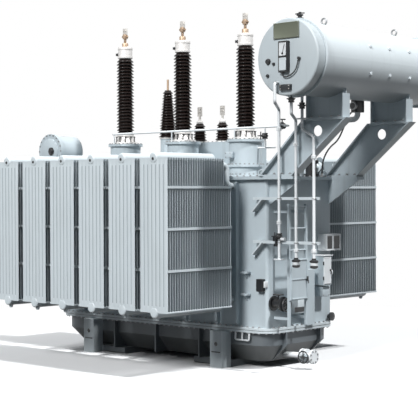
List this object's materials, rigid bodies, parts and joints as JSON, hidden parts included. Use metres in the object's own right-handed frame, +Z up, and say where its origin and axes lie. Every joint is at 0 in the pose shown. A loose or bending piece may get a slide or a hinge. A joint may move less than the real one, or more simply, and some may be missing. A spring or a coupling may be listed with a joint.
{
  "type": "power transformer",
  "caption": "Oil-filled power transformer with a bell tank, radiator banks along both sides, porcelain bushings on turrets and a conservator on leaning arms",
  "frame": {"origin": "middle of the tank's footprint, on the floor", "axes": "+Z up, +X along the tank to the conservator, -Y to the near radiator bank"},
  "size_m": [6.5969, 4.868, 5.225],
  "materials": {
    "tank_paint": "satin",
    "radiator_paint": "satin",
    "conservator_paint": "satin",
    "pipe_paint": "satin",
    "porcelain": "glazed",
    "head_metal": "cast",
    "copper": "dull",
    "dark_fitting": "satin",
    "cabinet_paint": "satin"
  },
  "bodies": {
    "root": {"base_beams": "tank_paint", "breathers": "dark_fitting", "cable_duct": "tank_paint", "conservator": "conservator_paint", "conservator_arms": "tank_paint", "conservator_end_caps": "conservator_paint", "conservator_saddles": "tank_paint", "control_cabinet": "cabinet_paint", "drain_valve": "pipe_paint", "end_turret": "tank_paint", "far_radiator_stubs": "radiator_paint", "far_radiator_ties": "radiator_paint", "far_radiators": "radiator_paint", "filter_valve": "dark_fitting", "foot_valve": "dark_fitting", "gas_relay": "dark_fitting", "gauge_frame": "cabinet_paint", "hv_bushings": "porcelain", "hv_terminals": "head_metal", "hv_turrets": "tank_paint", "inner_pipe": "pipe_paint", "jacking_brackets": "tank_paint", "ladder": "pipe_paint", "ladder_guard": "cabinet_paint", "level_gauge": "cabinet_paint", "lower_tank": "tank_paint", "lv_bushings": "porcelain", "lv_terminals": "copper", "lv_turret": "tank_paint", "middle_pipe": "pipe_paint", "near_radiator_stubs": "radiator_paint", "near_radiator_ties": "radiator_paint", "near_radiators": "radiator_paint", "neutral_bushing": "porcelain", "neutral_terminal": "copper", "neutral_turret": "tank_paint", "outer_pipe": "pipe_paint", "pipe_brackets": "pipe_paint", "pipe_valves": "dark_fitting", "relay_pipe": "pipe_paint", "shelf_gussets": "tank_paint", "tank_cover": "tank_paint", "tank_flange": "tank_paint", "upper_tank": "tank_paint", "vent_pipe": "pipe_paint"}
  },
  "joints": []
}
